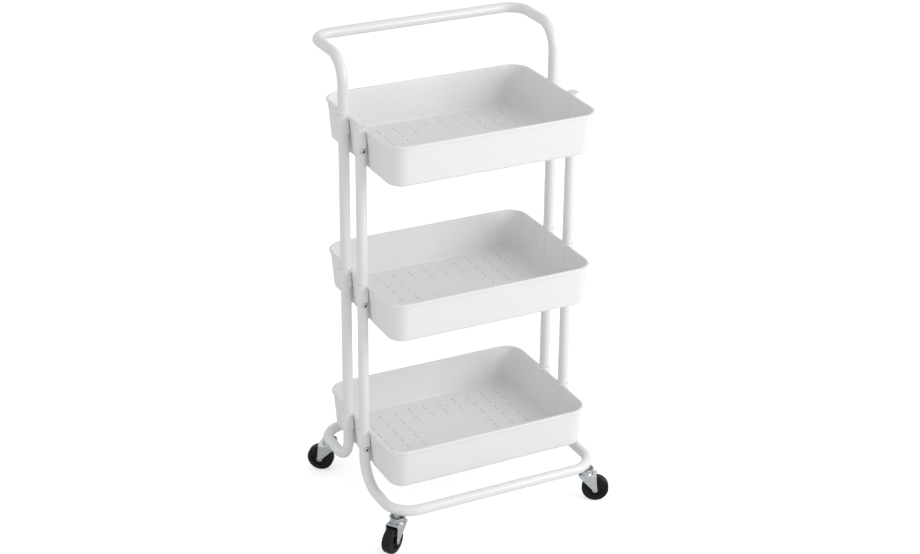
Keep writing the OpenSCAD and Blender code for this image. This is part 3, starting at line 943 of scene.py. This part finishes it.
def lower_race():
    """The round pressed boss on the fork's crown, with the groove that the balls run in."""
    top = CROWN_Z + CROWN_T
    ring_r, ring_top = 12.5 * MM, top + 1.8 * MM
    bore = KINGPIN_R + 0.05 * MM
    groove = BALL_R + 0.1 * MM
    reach = math.degrees(math.acos((BALL_Z - ring_top) / groove))
    rings = [(bore, CROWN_Z), (RACE_R - 0.5 * MM, CROWN_Z), (RACE_R, CROWN_Z + 0.5 * MM)]
    rings += [(RACE_R, top - 0.5 * MM), (RACE_R - 0.5 * MM, top)]
    rings += [(ring_r + 0.6 * MM, top), (ring_r, top + 0.6 * MM), (ring_r, ring_top - 0.3 * MM)]
    rings += [(ring_r - 0.3 * MM, ring_top)]
    rings += arc(BALL_RING_R, BALL_Z, groove, reach - 90, -90 - reach, 10)
    rings += [(bore, ring_top)]
    return turned("lower race", rings, segments=72, closed=True)


def upper_race():
    """The fixed race: a pressed cup whose lip shields the balls, with a flared rim above it."""
    bore = KINGPIN_R + 0.05 * MM
    dish_r, skirt_r, inner_r = 9.5 * MM, RACE_R - 1.2 * MM, RACE_R - 2.1 * MM
    ceiling = DISH_Z - 2 * MM
    groove = BALL_R + 0.3 * MM
    reach = math.degrees(math.acos((ceiling - BALL_Z) / groove))
    rings = [(bore, DISH_Z), (dish_r - 0.5 * MM, DISH_Z), (dish_r + 0.3 * MM, DISH_Z + 0.2 * MM)]
    rings += [(RACE_R - 1.3 * MM, RACE_HIGH - 0.35 * MM), (RACE_R - 0.8 * MM, RACE_HIGH)]
    rings += [(RACE_R - 0.3 * MM, RACE_HIGH), (RACE_R, RACE_HIGH - 0.3 * MM)]
    rings += [(RACE_R, RACE_HIGH - 1.5 * MM), (RACE_R - 0.3 * MM, RACE_HIGH - 1.9 * MM)]
    rings += [(skirt_r, DISH_Z - 0.8 * MM), (skirt_r, RACE_LOW + 0.3 * MM)]
    rings += [(skirt_r - 0.3 * MM, RACE_LOW)]
    rings += [(inner_r + 0.3 * MM, RACE_LOW), (inner_r, RACE_LOW + 0.3 * MM), (inner_r, ceiling)]
    rings += arc(BALL_RING_R, BALL_Z, groove, 90 - reach, 90 + reach, 8)
    rings += [(bore, ceiling)]
    race = turned("upper race", rings, segments=72, closed=True)
    # a ring at the floor of the dish is marked for painted shade
    low, high, dark = DISH_Z - 0.1 * MM, DISH_Z + 0.3 * MM, 0.6
    return with_painted_recess_shade(race, lambda p: dark * (low < p.z < high and p.xy.length < dish_r + 1 * MM))


def stem():
    """Stem, its hexagon with chamfered corners, and the headed kingpin under the fork."""
    flat, stem_r = 14 * MM, 5 * MM
    hex_low, hex_high = DISH_Z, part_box("caster_inserts")[0].z
    full = flat / 2 / math.cos(math.pi / 6)
    cones = [(0, full - 1.1 * MM), (0.36 * MM, full - 0.4 * MM), (0.78 * MM, None)]
    head_r, head_h = 7.5 * MM, 2.1 * MM
    rings = [(0.3 * MM, STEM_LOW), (head_r - 1.2 * MM, STEM_LOW), (head_r, STEM_LOW + 0.9 * MM)]
    rings += [(head_r, STEM_LOW + head_h - 0.3 * MM), (head_r - 0.3 * MM, STEM_LOW + head_h)]
    rings += [(KINGPIN_R, STEM_LOW + head_h), (KINGPIN_R, hex_low)]
    rings += [(hexagon(flat, cone), hex_low + rise) for rise, cone in cones]
    rings += [(hexagon(flat, cone), hex_high - rise) for rise, cone in reversed(cones)]
    rings += [(stem_r, hex_high), (stem_r, STEM_HIGH - 1 * MM)]
    rings += [(stem_r - 1 * MM, STEM_HIGH), (0.3 * MM, STEM_HIGH)]
    return turned("stem", rings, segments=72)


def insert():
    """The threaded insert's flange and body in the underside of a base bar, made about its own stem."""
    low, high = (c.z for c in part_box("caster_inserts"))
    flange_r, body_r, bore = 8 * MM, 6.4 * MM, 5.05 * MM
    rings = [(bore, low), (flange_r - 0.4 * MM, low), (flange_r, low + 0.4 * MM)]
    rings += [(flange_r, low + 1.2 * MM), (flange_r - 0.3 * MM, low + 1.45 * MM)]
    rings += [(body_r, low + 1.45 * MM), (body_r, high), (bore, high)]
    return turned("insert", rings, segments=56, closed=True)


def ball_tree(material):
    """A ring of balls between the races."""
    tree, given = new_tree(
        "ball ring", [("Ball radius", "Float"), ("Ring radius", "Float"), ("Count", "Int")]
    )
    ring = node(
        tree, "GeometryNodeMeshCircle",
        {"Vertices": given["Count"], "Radius": given["Ring radius"]},
    )
    ball = node(tree, "GeometryNodeMeshIcoSphere", {"Radius": given["Ball radius"], "Subdivisions": 3})
    balls = node(
        tree, "GeometryNodeInstanceOnPoints",
        {"Points": ring.outputs["Mesh"], "Instance": ball.outputs["Mesh"]},
    )
    end_tree(tree, balls.outputs["Instances"], material)
    return tree


def axle_bolt():
    """Axle bolt with a flat head outside one leg, and a socket in each of its ends, darkened with
    painted shade.
    """
    leg_face = LEG_IN + LEG_T
    over = leg_face + AXLE_HEAD_H
    socket_r, socket_depth, edge = 1.9 * MM, 2.2 * MM, 0.35 * MM
    far = [(0.2 * MM, socket_depth - over), (socket_r, socket_depth - over)]
    far += [(socket_r, 0.2 * MM - over), (socket_r + 0.2 * MM, -over)]
    far += [(AXLE_R - 0.3 * MM, -over), (AXLE_R, 0.3 * MM - over)]
    near = [(AXLE_R, leg_face), (AXLE_HEAD_R - 0.1 * MM, leg_face)]
    near += [(AXLE_HEAD_R, leg_face + 0.1 * MM), (AXLE_HEAD_R, over - edge)]
    near += [(AXLE_HEAD_R - 0.3 * edge, over - 0.3 * edge), (AXLE_HEAD_R - edge, over)]
    near += [(socket_r + 0.2 * MM, over), (socket_r, over - 0.2 * MM)]
    near += [(socket_r, over - socket_depth), (0.2 * MM, over - socket_depth)]
    bolt = turned("axle bolt", far + near, segments=48)
    # the sockets' points are marked for painted shade
    return at_axle(
        with_painted_recess_shade(bolt, lambda p: abs(p.z) > over - 2.5 * MM and p.xy.length < socket_r + 0.1 * MM)
    )


def axle_nut():
    """Round nut, as flat as the bolt's head, with a softened rim."""
    leg_face = LEG_IN + LEG_T
    over = leg_face + AXLE_HEAD_H
    bore, edge = AXLE_R + 0.05 * MM, 0.35 * MM
    rings = [(bore, -leg_face), (AXLE_HEAD_R - 0.1 * MM, -leg_face)]
    rings += [(AXLE_HEAD_R, -leg_face - 0.1 * MM), (AXLE_HEAD_R, edge - over)]
    rings += [(AXLE_HEAD_R - 0.3 * edge, 0.3 * edge - over), (AXLE_HEAD_R - edge, -over)]
    rings += [(bore, -over)]
    return at_axle(turned("axle nut", rings, segments=48, closed=True))


def wheel_core():
    """Dished nylon core: hub boss, web and the band that the tyre sits on, with rounded corners."""
    half = TYRE_W / 2
    dish = 4 * MM
    boss_r, boss_half = 6 * MM, LEG_IN - 0.5 * MM
    band_r = CORE_R - 2.5 * MM
    bore = AXLE_R + 0.05 * MM
    soft = 0.8 * MM
    side = [(bore, boss_half), (boss_r - 0.5 * MM, boss_half), (boss_r, boss_half - 0.5 * MM)]
    side += arc(boss_r + soft, half - dish + soft, soft, 180, 270, 4)
    side += arc(band_r - soft, half - dish + soft, soft, 270, 360, 4)
    side += [(band_r, half - 0.3 * MM), (band_r + 0.3 * MM, half)]
    side += [(CORE_R - 0.2 * MM, half), (CORE_R, half - 0.2 * MM)]
    rings = side + [(r, -z) for r, z in reversed(side)]
    return at_axle(turned("wheel core", rings, segments=72, closed=True))


def tyre():
    """Rubber tyre with round shoulders, a moulded step at each side and a fine parting line."""
    half = TYRE_W / 2
    shoulder = 4 * MM
    inner = CORE_R + 0.05 * MM
    line = 0.25 * MM
    side = [(inner, half - 0.2 * MM), (inner + 0.3 * MM, half), (inner + 1.6 * MM, half)]
    side += [(inner + 1.9 * MM, half - 0.3 * MM), (inner + 2.4 * MM, half - 0.3 * MM)]
    side += arc(WHEEL_R - shoulder, half - shoulder - 0.05 * MM, shoulder, 80, 2, 8)
    side += [(WHEEL_R - 0.12 * MM, line), (WHEEL_R, line / 2)]
    rings = side + [(r, -z) for r, z in reversed(side)]
    return at_axle(turned("tyre", rings, segments=96, closed=True))


def make_casters():
    """Four casters, each made about its own swivel and turned the way that it trails."""
    tree = ball_tree(MATERIAL["ball_steel"])
    sizes = {"Ball radius": BALL_R, "Ring radius": BALL_RING_R, "Count": BALL_COUNT}
    inserts = []
    for corner in CORNERS:
        place = swivel(corner)[0]
        balls = moved(
            grown("balls", bpy.data.meshes.new("balls"), tree, sizes),
            Matrix.Translation((0, 0, BALL_Z)),
        )
        pressed = joined("fork", [fork_blank(), lower_race()])
        rows = [
            ("stem", stem(), "zinc_plate", "cart_frame", "stem"),
            ("race_cup", upper_race(), "zinc_plate", "cart_frame", "upper_race"),
            ("race_bearing", balls, "ball_steel", f"{corner}_caster", "race_balls"),
            ("pressed_fork", pressed, "zinc_plate", f"{corner}_caster", "fork"),
            ("axle", axle_bolt(), "zinc_plate", f"{corner}_caster", "axle_bolt"),
            ("axle_round_nut", axle_nut(), "zinc_plate", f"{corner}_caster", "axle_nut"),
            ("nylon_core", wheel_core(), "wheel_core_plastic", f"{corner}_wheel", "wheel_core"),
            ("rubber_tyre", tyre(), "tyre_rubber", f"{corner}_wheel", "tyre"),
        ]
        for name, mesh, slot, body, cad_part in rows:
            replaced = f"{corner}_caster_{cad_part}"
            made = piece(f"{corner}_{name}", moved(mesh, place), slot, body, replaced)
            if name == "pressed_fork":
                edge = made.modifiers.new("pressed edge", "BEVEL")
                edge.width = 0.35 * MM
                edge.segments = 2
                edge.limit_method = "ANGLE"
                edge.angle_limit = math.radians(50)
        inserts.append(moved(insert(), place))
    inserts = joined("inserts", inserts)
    piece("base_inserts", inserts, "zinc_plate", "cart_frame", "caster_inserts")


# ---------------------------------------------------------------- studio
def make_floor(glow):
    """A wide pale floor that catches the cart's shadow, lifted to white where the camera sees it."""
    material, tree, shader, place = new_material("matt studio floor", "F4F4F4", 0.9)
    fleck = node(tree, "ShaderNodeTexNoise", {"Vector": place, "Scale": 1 / (4 * MM)})
    bump = node(
        tree, "ShaderNodeBump",
        {"Height": fleck.outputs["Fac"], "Strength": 0.05, "Distance": 0.05 * MM},
    )
    tree.links.new(bump.outputs["Normal"], shader.inputs["Normal"])
    ray = node(tree, "ShaderNodeLightPath")
    lift = maths(tree, "MULTIPLY", ray.outputs["Is Camera Ray"], glow)
    white = node(tree, "ShaderNodeEmission", {"Color": (1, 1, 1, 1), "Strength": lift})
    both = node(tree, "ShaderNodeAddShader", {0: shader.outputs[0], 1: white.outputs[0]})
    tree.links.new(both.outputs[0], tree.nodes["Material Output"].inputs["Surface"])
    reach = 14.0
    mesh = mesh_of(
        "floor", [(-reach, -reach, 0), (reach, -reach, 0), (reach, reach, 0), (-reach, reach, 0)],
        [(0, 1, 2, 3)],
    )
    mesh.materials.append(material)
    floor = bpy.data.objects.new("studio_floor", mesh)
    SCENE.collection.objects.link(floor)


def make_world(level):
    """White wherever the camera, a reflection or a clear part sees it, and a plain grey light."""
    world = bpy.data.worlds.new("studio")
    SCENE.world = world
    world.use_nodes = True
    tree = world.node_tree
    tree.nodes.clear()
    ray = node(tree, "ShaderNodeLightPath")
    seen = maths(tree, "MAXIMUM", ray.outputs["Is Camera Ray"], ray.outputs["Is Glossy Ray"])
    clear = maths(tree, "MAXIMUM", seen, ray.outputs["Is Transmission Ray"])
    white = node(tree, "ShaderNodeBackground", {"Color": (1, 1, 1, 1), "Strength": 1.0})
    soft = node(tree, "ShaderNodeBackground", {"Color": linear("FFFEFC"), "Strength": level})
    shades = {0: clear, 1: soft.outputs[0], 2: white.outputs[0]}
    mixed = node(tree, "ShaderNodeMixShader", shades)
    node(tree, "ShaderNodeOutputWorld", {"Surface": mixed.outputs[0]})


def direction(azimuth, elevation):
    """The way from the cart out to something at an azimuth, measured from its front, and a height."""
    level = math.cos(elevation)
    return Vector((math.sin(azimuth) * level, -math.cos(azimuth) * level, math.sin(elevation)))


def add_lamp(name, azimuth, elevation, distance, size, watts):
    """A square white soft box that faces the middle of the cart."""
    centre = (cad_box[0] + cad_box[1]) / 2
    back = direction(math.radians(azimuth), math.radians(elevation))
    data = bpy.data.lights.new(name, "AREA")
    data.shape = "SQUARE"
    data.size = size
    data.energy = watts
    lamp = bpy.data.objects.new(name, data)
    lamp.location = centre + back * distance
    lamp.rotation_mode = "QUATERNION"
    lamp.rotation_quaternion = (-back).to_track_quat("-Z", "Y")
    SCENE.collection.objects.link(lamp)


def make_camera():
    """A long lens a little above the cart, from the front left corner."""
    azimuth, elevation, roll = (math.radians(a) for a in (-26.8, 25.24, 0.5552))
    distance, off_right, off_up = 3629 * MM, 3.45 * MM, -5.21 * MM
    back = direction(azimuth, elevation)
    level = Vector((math.cos(azimuth), math.sin(azimuth), 0))
    upward = back.cross(level)
    right = level * math.cos(roll) + upward * math.sin(roll)
    up = upward * math.cos(roll) - level * math.sin(roll)
    centre = Vector((0, 0, cad_box[1].z / 2))
    place = centre + right * off_right + up * off_up + back * distance
    data = bpy.data.cameras.new("camera")
    data.sensor_width = 36
    data.lens = 79.09
    data.clip_start, data.clip_end = 0.05, 60
    camera = bpy.data.objects.new("camera", data)
    turn = Matrix((right, up, back)).transposed().to_4x4()
    camera.matrix_world = Matrix.Translation(place) @ turn
    SCENE.collection.objects.link(camera)
    SCENE.camera = camera


make_trays()
make_bent_tubes()
make_uprights()
make_end_caps()
make_fasteners()
make_casters()
make_floor(glow=0.5)
make_world(level=0.65)
add_lamp("key softbox", azimuth=42, elevation=24, distance=3.2, size=2.0, watts=51)
add_lamp("fill softbox", azimuth=-78, elevation=14, distance=3.2, size=1.2, watts=6)
make_camera()
SCENE.view_settings.view_transform = "Standard"
